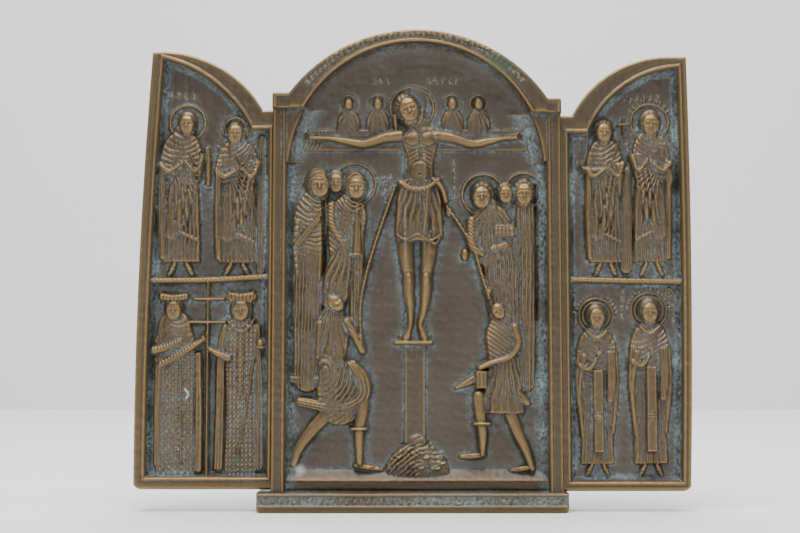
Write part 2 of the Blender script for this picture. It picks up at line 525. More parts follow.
def rulers(r):
    """The emperor and the empress on the left wing, each with a hand to the staff between them."""
    band(r, [[-120.5, 95, 5.6, 3.0], [-120.4, 88, 9.6, 4.0], [-120.2, 78, 10.6, 4.2], [-120, 50, 10, 3.6],
             [-119.6, 22, 10.2, 3.0]], jewelled(3.1), 0.9, crown=0.25)
    band(r, [[-127.6, 76, 2.6, 4.2], [-128.6, 50, 2.2, 3.6], [-128.2, 24, 2.4, 3.0]], pleats(3, 0.1), 0.8)
    band(r, [[-117.2, 76, 0.9, 5.0], [-117, 60, 0.9, 4.6], [-116.6, 24, 0.9, 4.0]],
         hatch(1.8, math.pi / 2), 0.6)
    band(r, [[-108.4, 78, 1.9, 3.8], [-108, 50, 2.2, 3.2], [-108, 21, 2.2, 2.8]], pleats(2, 0.1), 0.7)
    band(r, [[-120.5, 92, 8.4, 4.6], [-120.5, 84, 10, 4.8]], rings(-120.5, 97, 2.0), 0.8)
    band(r, [[-130, 80.4, 2.5, 5.4], [-124, 82, 2.5, 5.8], [-117, 85.4, 1.9, 5.6]], hatch(1.5, 0.4), 0.5)
    band(r, [[-127, 73.4, 2.5, 5.0], [-119, 77.4, 2.6, 5.4], [-111, 82.4, 2.0, 5.2], [-105.4, 86, 1.3, 4.8]],
         hatch(1.6, 0.6), 0.5)
    hand(r, -106.2, 86.6, 0.9, 1.5, 4.9)
    line(r, [(-114.6, 60.6), (-113, 58.4), (-114.2, 56.4)], 0.6, 0.9, "white")
    band(r, [[-87, 97, 4.4, 3.2], [-87, 92.6, 7.6, 4.2], [-87, 80, 7.8, 4.2], [-87, 50, 7.4, 3.6],
             [-86.6, 22, 8.4, 3.0]], dots(2.1, 2.4, -87), 0.9, crown=0.25)
    band(r, [[-94.8, 92, 2.2, 3.6], [-96.8, 80, 2.4, 3.6], [-97.4, 48, 2.4, 3.2], [-98, 22, 2.5, 2.6]],
         pleats(3, 0.1), 0.8)
    band(r, [[-79.2, 92, 2.0, 3.2], [-77.8, 60, 2.4, 2.8], [-78, 23, 3.2, 2.4]], pleats(3, 0.15), 0.9)
    band(r, [[-80.4, 76, 0.8, 4.6], [-83.8, 52, 0.8, 4.2], [-88, 29, 0.8, 3.8]])
    line(r, [(-95.4, 62), (-95.6, 45), (-95.8, 28)], 0.6, 1.0)
    band(r, [[-94, 96, 0.9, 4.2], [-90.6, 91.6, 0.9, 4.8], [-87, 90, 0.9, 5.0], [-83.2, 91.6, 0.9, 4.8],
             [-80.4, 96, 0.9, 4.0]], hatch(1.5, 0.0), 0.6)
    band(r, [[-87, 90, 2.2, 4.8], [-87, 74, 2.2, 4.6], [-87, 58, 2.0, 4.2]], lattice(2.6), 0.7, square=True)
    band(r, [[-93.4, 76.4, 2.4, 4.8], [-98, 78.4, 2.0, 5.0], [-102.4, 81, 1.3, 4.8]], hatch(1.5, 0.3), 0.5)
    hand(r, -101.4, 80.6, math.pi - 0.2, 1.3, 4.8)
    dome(r, -77.2, 84, 2.6, 2.6, 5.0)
    dome(r, -77.2, 82, 3.2, 1.6, 4.6)
    staff = -103.8
    band(r, [[staff, 114.5, 0.95, 3.4], [staff, 18, 0.95, 3.4]], hatch(5.5, math.pi / 2), 0.3, square=True)
    band(r, [[staff - 7, 106.3, 0.95, 3.4], [staff + 8.6, 106.3, 0.95, 3.4]], square=True)
    band(r, [[staff - 9.6, 94.6, 0.95, 3.4], [staff + 9, 94.6, 0.95, 3.4]], square=True)
    head(r, -121, 101.4, 6.6, 4.6, hair="cap")
    head(r, -87, 101.6, 7.2, 4.6, hair="veil")
    for x, half, tall in ((-121, 5.6, 4.2), (-87, 5.2, 5.6)):
        band(r, [[x - half, 107.4, tall / 2, 4.8], [x, 106.6, tall / 2, 5.2],
                 [x + half, 107.4, tall / 2, 4.8]],
             hatch(1.9, 0.0, x), 0.9, crown=0.3)
        line(r, [(x - half, 105.2), (x, 104.2), (x + half, 105.2)], 0.5, 0.7)
    band(r, [[-93.4, 110.4, 0.8, 4.4], [-91.8, 104.6, 0.9, 5.0]])
    band(r, [[-80.6, 110.4, 0.8, 4.4], [-82.2, 104.6, 0.9, 5.0]])
    for x in (-120, -87):
        for side in (-1, 1):
            foot(r, x + 2.4 * side, 24, x + 4.6 * side, 19, 1.6, 2.6)
    strokes(r, [(-128.6, z, 0) for z in (110, 105.5)], 31, 2.6)
    for x, z, wide, tall in ((-103, 30, 1.6, 2.4), (-89, 26, 2.8, 1.4), (-97, 40, 1.2, 1.6)):
        where = r.near(x - wide * 2, x + wide * 2, z - tall * 2, z + tall * 2)
        r.stain("green", where, 1.2 * bump(r.across[where], r.up[where], x, z, wide, tall))


def bishops(r):
    """The two bishops of the right wing, below its bar."""
    bishop(r, 92.5, 18.5, 104.6, 21.5, 6.6, 8.6, seed=0.4)
    bishop(r, 119.2, 18.5, 107.6, 21.5, 7.0, 9.0, seed=1.7)
    band(r, [[84.6, 72, 1.2, 3.6], [83.6, 62, 1.1, 3.2], [83.8, 54, 0.8, 2.8]])
    ring(r, 129.6, 109.6, 1.9, 0.6, 1.2)
    strokes(r, [(82.2, z, 0) for z in (108, 103.5, 99, 94.5)], 41, 2.4)
    strokes(r, [(106.2, z, 0) for z in (111, 106.5, 102, 97.5)], 42, 2.4)
    strokes(r, [(132.2, z, 0) for z in (103, 98.5, 94)], 43, 2.2)


# ---- the centre: the cross and those round it ----
def crucifix(r):
    """The cross, the mound at its foot, and the figure on it."""
    band(r, [[-56, 187.6, 5.6, 1.1], [58.5, 187.6, 5.6, 1.1]], crown=0, square=True, edge=0.7)
    band(r, [[0.8, 190, 5.2, 1.1], [0.8, 33, 5.2, 1.1]], crown=0, square=True, edge=0.7)
    band(r, [[2.2, 214, 4.4, 0.5], [2.2, 190, 4.4, 0.5]], crown=0, square=True, edge=0.7)
    for x in (-4.4, 6.4):
        for k in range(4):
            line(r, [(x - 2.1 + 1.4 * k, 88), (x - 2.3 + 1.5 * k, 85.6)], 0.5, 0.9, "golden")
    for k in range(5):
        line(r, [(-56 + 2.0 * k, 183.4), (-52.6 + 2.0 * k, 191.8)], 0.45, 0.5)
    for x in (-4.1, 5.7):
        line(r, [(x, 180), (x, 34)], 0.4, 0.35, "pale")
    band(r, [[2, 33.6, 5, 2.6], [2, 30, 10.5, 3.6], [2, 25, 14.5, 4.2], [2, 20.6, 16, 4.0]],
         rings(2, 12, 3.1, squash=1.3), 1.4, crown=0.4)
    chance = np.random.default_rng(7)
    for _ in range(46):
        x, z = chance.uniform(-12, 16), chance.uniform(21, 34)
        if ((x - 2) / 15) ** 2 + ((z - 20) / 15) ** 2 < 1:
            turn = chance.uniform(-0.9, 0.9)
            line(r, [(x - 1.1 * math.cos(turn), z - 1.1 * math.sin(turn)),
                     (x + 1.1 * math.cos(turn), z + 1.1 * math.sin(turn))], 0.5,
                 chance.choice((0.8, -0.7)), "pale" if chance.random() < 0.3 else None)
    band(r, [[-9.6, 84.2, 1.3, 4.8], [9.4, 84.2, 1.3, 4.8]], crown=0.1, square=True)
    ring(r, -0.6, 204, 11, 0.8, 1.2, beads=54)
    for side, reach in ((-1, (-6.6, -15, -25, -34, -43, -51)), (1, (11.6, 20, 30, 38.6, 46, 51))):
        high = (189.6, 188.6, 185.6, 186.8, 188.2, 188.6)
        half = (3.4, 3.1, 2.7, 2.3, 1.5, 1.6)
        lift = (5.2, 5.2, 5.0, 4.8, 4.2, 3.4)
        band(r, [list(row) for row in zip(reach, high, half, lift)], crown=0.5)
        line(r, [(reach[1], high[1] + 0.6), (reach[2], high[2] + 0.5)], 0.9, 0.35)
        hand(r, reach[5] + 1.2 * side, 188.8, 0.2 if side > 0 else math.pi - 0.2, 1.9, 3.2, 0.8)
    band(r, [[0.6, 197, 2.8, 4.6], [2.6, 191, 3.6, 5.0]], crown=0.5)
    band(r, [[2.8, 194, 6.2, 4.4], [3.4, 189.6, 10, 5.2], [3.8, 184, 8.8, 5.4], [3.8, 178, 7.0, 5.2],
             [3.4, 171, 6.8, 5.0], [3.2, 164, 8.6, 5.0]], crown=0.45)
    for side, x in ((-1, -0.8), (1, 8.2)):
        dome(r, x, 187.6, 4.4, 3.4, 0.9, add=True)
        line(r, [(x - 4 * side, 184.8), (x, 183.6), (x + 3.6 * side, 185.6)], 0.5, -0.6)
        for k in range(4):
            line(r, [(3.6 + side * 1.4, 181.6 - 2.0 * k), (3.6 + side * 5.2, 180.4 - 2.3 * k)], 0.45, 0.4)
    line(r, [(3.6, 190), (3.6, 177)], 0.5, -0.5)
    dome(r, 3.2, 171, 5.0, 5.2, 1.2, add=True)
    line(r, [(-1.6, 175), (3.2, 176.8), (8, 175)], 0.5, -0.5)
    dome(r, 3.2, 169.6, 0.8, 0.8, -0.9, add=True)
    for side in (-1, 1):
        hip, ankle = 2 + 6.0 * side, 1 + 2.5 * side
        band(r, [[hip, 139, 4.4, 5.4], [hip - 0.4 * side, 128, 4.1, 5.6], [hip - 1.6 * side, 118, 3.2, 5.4],
                 [hip - 1.7 * side, 111, 3.1, 5.4], [hip - 2.6 * side, 102, 2.5, 4.8],
                 [ankle, 94, 1.8, 4.4], [ankle + 1.0 * side, 90, 2.0, 4.8],
                 [ankle + 2.2 * side, 86.4, 2.5, 4.8]],
             crown=0.55)
        dome(r, hip - 1.6 * side, 116.4, 2.2, 2.4, 0.7, add=True)
        line(r, [(hip - 4.4 * side, 119), (hip - 1.6 * side, 120.2), (hip + 1.2 * side, 119)], 0.4, -0.35)
        for k in range(4):
            line(r, [(ankle + (0.8 + 0.8 * k) * side, 88.6), (ankle + (1.0 + 1.0 * k) * side, 85.6)],
                 0.3, -0.5)
    band(r, [[3.2, 166.6, 9.6, 5.8], [3, 158, 11.2, 6.4], [3, 146, 12.0, 6.4], [3, 140, 12.2, 6.2],
             [3.2, 136, 11.6, 5.8]], fan(4.6, 182, 30), 1.4, crown=0.4, square=True)
    band(r, [[-8.4, 138.4, 0.8, 6.2], [-4, 136, 0.9, 6.8], [2, 138.6, 0.9, 7.2], [8, 135.6, 0.9, 6.8],
             [14.4, 138.6, 0.8, 6.2]])
    band(r, [[7.4, 161, 2.6, 7.0], [6.4, 150, 2.8, 7.0], [5, 136.6, 2.0, 6.4]], pleats(3, 0.6), 0.9)
    band(r, [[-6.6, 165.4, 1.7, 6.4], [-1, 162.2, 1.9, 7.0], [6, 162, 1.9, 7.2], [12.6, 166.8, 1.7, 6.6]],
         hatch(1.7, 0.9), 0.6)
    band(r, [[10, 167, 1.6, 6.4], [14.4, 162.8, 1.8, 6.4], [16.6, 156, 1.5, 4.6]], pleats(2), 0.7)
    band(r, [[8, 138, 1.3, 6.0], [11, 134.2, 1.2, 5.6], [14, 138.4, 1.1, 5.0]])
    head(r, -3.4, 203.8, 8.6, 6.4, turn=0.1, tilt=0.3, hair="waves", beard=0.2, seed=0.5)
    for x, z, tilt in ((-9.4, 195.6, 0.4), (4.6, 198.4, -0.2)):
        band(r, [[x, z + 4, 1.3, 4.6], [x + math.sin(tilt), z, 1.3, 4.2], [x + 2 * math.sin(tilt), z - 4, 0.9,
                                                                       3.4]], hatch(1.5, 1.2), 0.6)


def lunette(r):
    """Two small half figures on either side above the cross arm, and the marks near them."""
    for x in (-33, -18, 20, 33.5):
        band(r, [[x, 203.6, 2.8, 1.6], [x, 199.6, 5.4, 2.2], [x, 194.4, 6, 1.9]], fan(x, 206, 11), 0.8)
        ring(r, x, 206.6, 4.4, 0.5, 0.8)
        head(r, x, 206.6, 3.5, 2.6, hair="cap")
    strokes(r, [(x, 218.6, 0) for x in (8.6, 12, 15.4, 18.8, 22)], 51, 3.2)
    strokes(r, [(x, 218.6, 0) for x in (-20, -16.4, -12.8)], 52, 3.0)
    strokes(r, [(x, 172 + 0.3 * x, 0) for x in (-18, -14.6, -11.2)], 53, 2.8)
    strokes(r, [(-15 + 0.4 * k, 165.4 - 4.6 * k, 0) for k in range(3)], 54, 2.8)
    strokes(r, [(21, z, 0) for z in (176, 171.5, 167, 162.5, 158)], 55, 2.8)


def mourners(r):
    """The women at the left: one in a long mantle, a face behind, and the Virgin with a halo."""
    band(r, [[-54, 152, 6.6, 4.6], [-53.4, 128, 7.6, 4.8], [-53.6, 95, 7.4, 4.6], [-53.6, 66, 6.8, 4.2]],
         pleats(9, 0.25, 0.2), 1.5, crown=0.3)
    band(r, [[-49.4, 159.6, 5.4, 4.6], [-51.4, 152, 8.4, 5.6], [-52.4, 142, 8.8, 5.6], [-53, 130, 7.6, 5.0]],
         rings(-47.6, 163, 2.3), 1.0)
    band(r, [[-58, 135, 3.4, 5.8], [-53, 141, 3.0, 6.4], [-48.4, 146.4, 2.1, 6.4]], hatch(1.6, -0.7), 0.7)
    hand(r, -47.6, 147.6, 1.5, 1.5, 6.4)
    band(r, [[-58.4, 146, 2.4, 5.4], [-59.6, 132, 2.2, 5.0], [-58.8, 119, 1.4, 4.4]],
         hatch(3.2, math.pi / 2, 0.4), 1.1)
    line(r, [(-45.6, 156), (-45.2, 130), (-45.6, 104)], 0.8, -2.2, "dark")
    head(r, -39.2, 166.4, 6.6, 4.0, hair="cap")
    band(r, [[-30.6, 158.6, 5.0, 4.6], [-32.6, 151, 9.2, 5.6], [-34, 141, 9.4, 5.6], [-34.6, 132, 8.4, 5.2]],
         rings(-29.5, 163, 2.3), 1.0)
    band(r, [[-31, 143, 2.6, 5.8], [-35.6, 127, 6.4, 6.0], [-39.4, 112, 8.0, 5.4], [-40.6, 108, 7.4, 5.0]],
         fan(-29.6, 146, 27), 1.5)
    band(r, [[-28.6, 142, 4.0, 4.8], [-28.8, 104, 3.6, 4.4], [-29.6, 92, 3.0, 4.0]], pleats(4, 0.2), 1.2)
    band(r, [[-28.4, 155, 1.3, 6.0], [-28.8, 142, 2.6, 6.4], [-29, 128.6, 3.2, 6.4]], pleats(3, 0.1), 0.7,
         square=True)
    line(r, [(-32.2, 128.4), (-25.8, 128.4)], 0.5, 0.7, "pale")
    band(r, [[-41.4, 154, 2.4, 5.8], [-40.8, 144, 2.8, 6.2], [-36, 134.6, 2.5, 6.4]], hatch(1.7, 1.2), 0.7)
    hand(r, -35, 133.6, -0.9, 1.5, 6.4)
    ring(r, -29.8, 165, 10.6, 0.85, 1.4, beads=52)
    head(r, -48.5, 165.2, 8.4, 6.4, turn=0.14, hair="veil")
    head(r, -29.6, 164, 8.0, 6.4, turn=0.1, hair="veil", seed=0.4)
    for x, z, wide in ((-48, 168.6, 4.4), (-29.2, 167.8, 4.0)):
        for k in range(2):
            line(r, [(x - wide, z - 2.0 + 1.9 * k), (x, z + 0.6 + 1.9 * k), (x + wide, z - 2.0 + 1.9 * k)],
                 0.5, 0.8, "golden")
    for x, z in ((-48, 156), (-29.6, 155.6)):
        for k in range(3):
            high = z + 2.2 - 2.1 * k
            line(r, [(x - 5, high), (x, high - 2.8), (x + 5, high)], 0.55, 0.8)


def witnesses(r):
    """Those at the right: a youth with a book, a face behind, and an officer at the edge."""
    band(r, [[57, 153, 4.8, 4.0], [57.2, 140, 5.6, 4.8], [57, 105, 5.2, 4.4], [56.6, 64, 4.8, 4.0]],
         pleats(5, 0.25), 1.3)
    band(r, [[43, 138, 10, 5.0], [45, 120, 9.2, 5.0], [47, 95, 8.4, 4.8], [49.4, 66, 7.2, 4.2]],
         pleats(9, 0.2, 0.3), 1.5)
    band(r, [[37.4, 153, 5.6, 4.8], [38.6, 147.4, 10.2, 5.8], [39.6, 140, 11, 5.8], [41, 131, 10.2, 5.4]],
         fan(37, 157, 20), 1.2)
    band(r, [[29.6, 146, 2.6, 5.8], [30, 134, 2.8, 6.0], [35, 128.6, 2.2, 6.0]], hatch(1.7, 1.1), 0.7)
    band(r, [[41.4, 140.6, 3.4, 6.6], [50.6, 140.6, 3.4, 6.6]], dots(1.9, 1.9, 41, 138.6), 0.7, crown=0.05,
         square=True)
    band(r, [[47, 133.4, 2.5, 6.0], [40, 131.4, 2.1, 6.2]], hatch(1.5, 0.2), 0.5)
    hand(r, 39.4, 131.6, math.pi * 0.95, 1.7, 6.2)
    line(r, [(62, 164), (62.2, 130), (62, 96)], 0.9, -2.0, "dark")
    head(r, 47, 160.4, 6.2, 4.2, hair="waves")
    ring(r, 35.6, 159.4, 10.6, 0.85, 1.4, beads=52)
    ring(r, 56.2, 161.4, 9.2, 0.8, 1.3, beads=46)
    head(r, 35.4, 159, 7.8, 6.4, turn=-0.1, hair="curls")
    head(r, 56.2, 160.6, 7.6, 5.8, hair="curls", beard=0.12, seed=1.0)
    dome(r, 26.2, 128.8, 2.4, 3.6, 3.8, cloth=hatch(1.5, 0.4))
    dome(r, 18.2, 150.6, 2.2, 3.0, 3.6, cloth=hatch(1.5, 1.2))
    band(r, [[17, 153.5, 1.2, 3.6], [25, 141.5, 1.2, 4.8], [31, 130.5, 1.3, 5.4], [34.6, 118, 1.3, 5.8],
             [38.4, 106.5, 1.3, 5.8]], hatch(3.0, -0.9), 0.8)
    dome(r, 38, 110, 2.6, 2.2, 6.6)


def soldiers(r):
    """The lance bearer at the left and the sponge bearer at the right, on the ledge."""
    band(r, [[-40.5, 98, 6.2, 5.0], [-40.8, 92, 9.0, 6.0], [-41, 77, 7.2, 5.8]], fan(-40, 106, 16), 1.0)
    head(r, -40, 104.6, 6.4, 6.2, tilt=0.9, hair="curls")
    band(r, [[-33.5, 95, 2.8, 6.2], [-29.5, 88, 2.5, 6.6], [-25.6, 80, 2.2, 6.6]], hatch(1.8, 0.9), 0.5)
    band(r, [[-47, 93.5, 2.5, 5.4], [-48, 77, 2.0, 4.8]])
    band(r, [[-42, 75, 6.5, 6.4], [-38, 64, 11, 7.0], [-37, 54, 11.5, 6.2]], rings(-44, 70, 3.0), 1.6)
    band(r, [[-31, 73, 3.2, 6.6], [-25.6, 65, 4.2, 6.8], [-27, 56.6, 4.2, 6.8], [-38, 51.6, 3.4, 6.2],
             [-57, 54.6, 2.6, 4.8]], pleats(4, 0.3), 1.2)
    band(r, [[-47, 65.6, 2.8, 4.2], [-60, 66.4, 3.0, 3.4]], pleats(3), 0.9)
    band(r, [[-26, 58, 4.0, 5.8], [-26, 49, 3.4, 6.0], [-27.2, 40, 2.8, 5.6], [-27, 24, 2.0, 4.8]])
    foot(r, -29, 22.8, -16, 20.6)
    band(r, [[-42, 50, 4.0, 5.0], [-50, 41.5, 3.4, 5.0], [-57, 32, 2.7, 4.6], [-60, 23.5, 2.1, 4.2]])
    band(r, [[-31, 41, 1.2, 6.4], [-23.8, 41, 1.2, 6.4]])
    band(r, [[-9.5, 163, 1.1, 3.8], [-21, 129, 1.2, 4.8], [-26.6, 104, 1.2, 5.6], [-26, 80, 1.2, 6.2]],
         hatch(2.6, 1.2), 0.9)
    band(r, [[45, 96, 6.0, 5.4], [44.8, 88, 8.4, 6.2], [45, 77, 7.4, 6.0]], hatch(2.0, 1.0), 0.9)
    head(r, 43.6, 101.4, 5.8, 6.4, turn=-0.22, tilt=0.4, hair="curls")
    band(r, [[46, 77, 7.4, 6.0], [45.4, 66, 9.0, 6.4], [45, 49, 11, 6.0]], fan(46, 92, 30), 1.6, square=True)
    band(r, [[51, 92, 2.6, 6.4], [52.4, 84, 2.6, 6.8], [48, 77, 2.3, 7.2], [40, 74.4, 2.1, 7.2],
             [33.4, 71.6, 1.8, 7.2]])
    band(r, [[34.5, 70, 4.0, 6.8], [34.5, 61.6, 3.6, 6.4]], hatch(2.2, 0.0), 0.5, square=True)
    band(r, [[31, 66, 2.6, 4.2], [21.5, 61.5, 1.3, 3.2]], pleats(2), 0.6)
    band(r, [[52, 59, 3, 5.4], [57, 54, 2.2, 4.8]], pleats(2), 0.7)
    band(r, [[33, 57, 3.6, 5.6], [33.6, 48, 3, 5.8], [34.6, 39, 2.6, 5.6], [34.6, 28.4, 1.7, 5.0]])
    foot(r, 35.4, 27.8, 24, 27)
    band(r, [[30.6, 43.6, 1.3, 6.6], [38, 43.6, 1.3, 6.6]])
    band(r, [[48, 51, 3.6, 5.2], [52, 40, 3, 5.2], [56.5, 30, 2.4, 4.6], [59.5, 21, 1.8, 4.2]])
    foot(r, 59, 21.8, 49, 20)


# ---- the casting's own shapes: grids fitted to each part, and their plain rises ----
def grid(left, right, low, high, wide, tall):
    """A fitted grid of rows: x runs between two edges that are functions of z, and z between two
    that are functions of x. Lines crowd together near the rims, by a smooth step blend."""
    s, t = np.linspace(0, 1, wide), np.linspace(0, 1, tall)
    s = s - 0.0035 * np.sin(2 * np.pi * s) * 2
    s, t = np.meshgrid(s, t)
    x, z = left(np.full(s.shape, 100.0)) * (1 - s) + right(np.full(s.shape, 100.0)) * s, t * 0
    for _ in range(5):
        z = low(x) + t * (high(x) - low(x))
        x = left(z) * (1 - s) + right(z) * s
    return x, z


def flat(value):
    return lambda other: np.full(np.shape(other), float(value))


def bowed(z, foot_x, middle_x, top_x, low, high):
    """A wing's outer edge: a parabola through its foot, middle and top."""
    t = np.clip((z - low) / (high - low), 0, 1)
    return foot_x * (1 - t) * (1 - 2 * t) + middle_x * 4 * t * (1 - t) + top_x * t * (2 * t - 1)


def circle_top(x, centre_x, centre_z, radius):
    return centre_z + np.sqrt(np.maximum(radius ** 2 - (x - centre_x) ** 2, 1.0))


WINGS = {
    -1: dict(outer=(-140.3, -139.0, -133.4, 11, 233), arc=(-128.0, 174.4, 58.6), bottom=10.9, web=202.8,
             hinge=-71.2, strip=5.9, sill=17.0, inner=-73.0, step=(-82.0, 193.0),
             head=(-142.4, 164.3, 66.9), bar=[[-134, 115.7], [-104, 116], [-71, 117.8]]),
    1: dict(outer=(139.0, 140.9, 139.8, 10.5, 230.5), arc=(130.0, 176.3, 54.2), bottom=10.0, web=200.0,
            hinge=74.8, strip=4.6, sill=14.8, inner=78.5, step=(88.5, 191.2),
            head=(138.6, 171.1, 53.9), bar=[[75, 116.3], [105, 115.6], [136, 115]]),
}


def wing_relief(side):
    """A wing's frame and sunk field: a profile over the distance in from the field's mouth, with
    a rounded outer rim, then the bar and the figures."""
    w = WINGS[side]
    ax, az, ar = w["arc"]

    def edge(z):
        return bowed(z, *w["outer"])

    def crown(x):
        peak = az + ar - 0.02
        top = np.where(side * (x - ax) > 0, peak, circle_top(x, ax, az, ar))
        out = np.clip(1.6 - side * (edge(np.full(np.shape(x), 228.0)) - x), 0, 1.6)
        return np.maximum(top - (1.6 - np.sqrt(np.maximum(1.6 ** 2 - out ** 2, 0))), w["web"])

    def sole(x):
        out = np.clip(4.0 - side * (edge(np.full(np.shape(x), 12.0)) - x), 0, 4.0)
        return w["bottom"] + 4.0 - np.sqrt(np.maximum(16.0 - out ** 2, 0))

    hinge = flat(w["hinge"])
    x, z = grid(edge if side < 0 else hinge, hinge if side < 0 else edge, sole, crown, 171, 541)
    hx, hz, hr = w["head"]
    outside = side * (edge(z) - x)
    under_arc = hr - np.hypot(x - hx, np.maximum(z - hz, 0))
    head_gap = np.where(side * (x - w["step"][0]) > 0, under_arc, w["step"][1] - z)
    field = np.minimum.reduce([outside - w["strip"], z - w["sill"], head_gap, side * (x - w["inner"])])
    top = size_of("wing_rise")
    rise = np.interp(field, [-3, -1.6, -1.0, -0.4, 0.3, 1.2, 2.4, 3.2],
                     [top, top - 0.3, top + 0.3, top + 0.3, top - 1, top - 3.1, top - 4.6, GROUND])
    rim = np.minimum.reduce([outside, crown(x) - z, z - sole(x)])
    rise = np.minimum(rise, top - 3.2 + 3.4 * quarter_round(np.maximum(rim, 0), 1.8))
    r = Relief(x, z, rise)
    band(r, [[bx, bz, 1.7, 3.6] for bx, bz in w["bar"]], hatch(1.7, 0.7), 0.5)
    for figures in ((left_upper, rulers) if side < 0 else (right_upper, bishops)):
        figures(r)
    r.marks["olive"] = np.clip(1.5 - rim / 2.2, 0, 1)
    r.marks["pale"] = np.maximum(r.marks["pale"], 0.8 * np.clip(1 - np.abs(field - 2.2) / 2.0, 0, 1))
    r.marks["golden"] = np.maximum(r.marks["golden"], 0.6 * np.clip(1 - np.abs(field + 0.7) / 0.8, 0, 1))
    return r, lambda px, pz: np.full(px.shape, size_of("wing_back"))


def centre_top(x):
    arch = circle_top(x, *ARCH_OUTER)
    block = np.where(x < 0, BLOCK_TOP[0], BLOCK_TOP[1])
    side = np.minimum(x - CENTRE[0], CENTRE[1] - x)
    block = block - 1.4 * (1 - quarter_round(np.maximum(side, 0), 1.4))
    return np.maximum(arch, block) - 0.02


def hollow_back(x, z):
    """The plain hollow behind the centre: a flat floor, one slope in from a margin."""
    margin, low, _ = HOLLOW
    from_axis = np.hypot(x - ARCH_OUTER[0], np.maximum(z - ARCH_OUTER[1], 0))
    inside = np.minimum.reduce([x - CENTRE[0] - margin, CENTRE[1] - margin - x, z - low,
                                ARCH_OUTER[2] - margin - from_axis])
    return np.clip(inside, 0, 1) * size_of("hollow_sink")


def centre_relief(low, high):
    """The centre between two heights: the cove as a quarter circle over the distance in from the
    side strips or the arch, the strips, the inscribed arch band and the ledge, then the figures."""
    top = centre_top if high is None else flat(high)
    tall = 271 if high is None else int((high - low) / 0.4) // 5 * 5 + 1
    x, z = grid(flat(CENTRE[0]), flat(CENTRE[1]), flat(low), top, 351, tall)
    left, right, cove_l, cove_r = RECESS
    side_gap = np.where(x < 0, (x - left) / cove_l, (right - x) / cove_r)
    inner = ARCH_INNER[2] - np.hypot(x - ARCH_INNER[0], z - ARCH_INNER[1])
    floor = ARCH_FLOOR[2] - np.hypot(x - ARCH_FLOOR[0], z - ARCH_FLOOR[1])
    arch_gap = inner / np.maximum(inner - floor, 0.5)
    foot = np.where(x < 0, BLOCK_FOOT[0], BLOCK_FOOT[1])
    inside_arch = np.where(z < 176, 9.0, arch_gap)
    in_arch = (z > foot) & (inner < 0)
    gap = np.where(z > foot, arch_gap, np.minimum(side_gap, inside_arch))
    arch_rise, jamb_rise = size_of("arch_rise"), size_of("jamb_rise")
    sunk = GROUND + (np.where(z > foot, arch_rise, jamb_rise) - GROUND) * (
        1 - np.sqrt(np.clip(gap, 0, 1) * (2 - np.clip(gap, 0, 1))))
    edge = np.minimum(x - CENTRE[0], CENTRE[1] - x)
    lane = np.where(x < 0, left - x, x - right)
    strip = jamb_rise - 0.9 + 0.9 * np.clip(1 - np.abs(lane - 1.0) / 1.1, 0, 1) \
        + 0.6 * np.clip(1 - np.abs(lane - 6.0) / 1.0, 0, 1)
    outer = np.minimum(centre_top(x) - z, edge)
    crest, lane_rise = arch_rise + 0.1, arch_rise - 0.8
    arch = np.interp(-inner, [0, 0.5, 1.2, 1.9, 2.4], [crest - 0.6, crest, crest, lane_rise + 0.2, lane_rise])
    arch = np.where(outer < 2.6, crest, arch)
    arch = arch - 2.6 * (1 - quarter_round(np.maximum(outer, 0), 1.4))
    rise = np.where(in_arch, arch, np.where(gap < 0, strip, sunk))
    rise = np.where(in_arch, rise, rise - 2.0 * (1 - quarter_round(np.maximum(edge, 0), 1.2)) * (gap < 0))
    shelf = np.interp(z, [9.0, 10.4, 11.2, 14.8, 15.4, 16.2, 20.8, 22],
                      [19, 16.2, 17.2, 17.4, 17.8, 17.0, 13, 0])
    rise = np.where(lane < 0, np.maximum(rise, shelf), rise)
    r = Relief(x, z, rise)
    r.marks["dark"] = 0.55 * ((lane < 0) & (z > 9.6) & (z < 22)) * np.clip((22 - z) / 3, 0, 1)
    for figures in (mourners, witnesses, lunette, crucifix, soldiers):
        figures(r)
    places = []
    for k in range(44):
        angle = 0.72 + (math.pi - 1.42) * (k + 0.5) / 44
        radius = 0.5 * (ARCH_OUTER[2] + ARCH_INNER[2]) + 0.5
        places.append([1.5 + radius * math.cos(angle), 0.5 * (ARCH_OUTER[1] + ARCH_INNER[1]) + 0.4
                       + radius * math.sin(angle), angle - math.pi / 2])
    if high is None:
        strokes(r, places, 61, 2.6, 0.45)
        where = r.near(30, 60, 212, 236)
        r.stain("green", where, bump(r.across[where], r.up[where], 45, 225.5, 7, 4))
    where = r.near(-62, -53, 17, 25)
    r.stain("white", where, 1.3 * bump(r.across[where], r.up[where], -57.6, 20.6, 2.4, 1.8))
    r.marks["olive"] = np.clip(1.2 - outer / 2.4, 0, 1)
    wall = np.clip(1 - np.abs(gap - 0.45) / 0.5, 0, 1) * (gap > 0)
    r.marks["dark"] = np.maximum(r.marks["dark"], 0.7 * wall * (z > foot))
    r.marks["pale"] = np.maximum(r.marks["pale"], 0.55 * wall * (z <= foot))
    return r, hollow_back


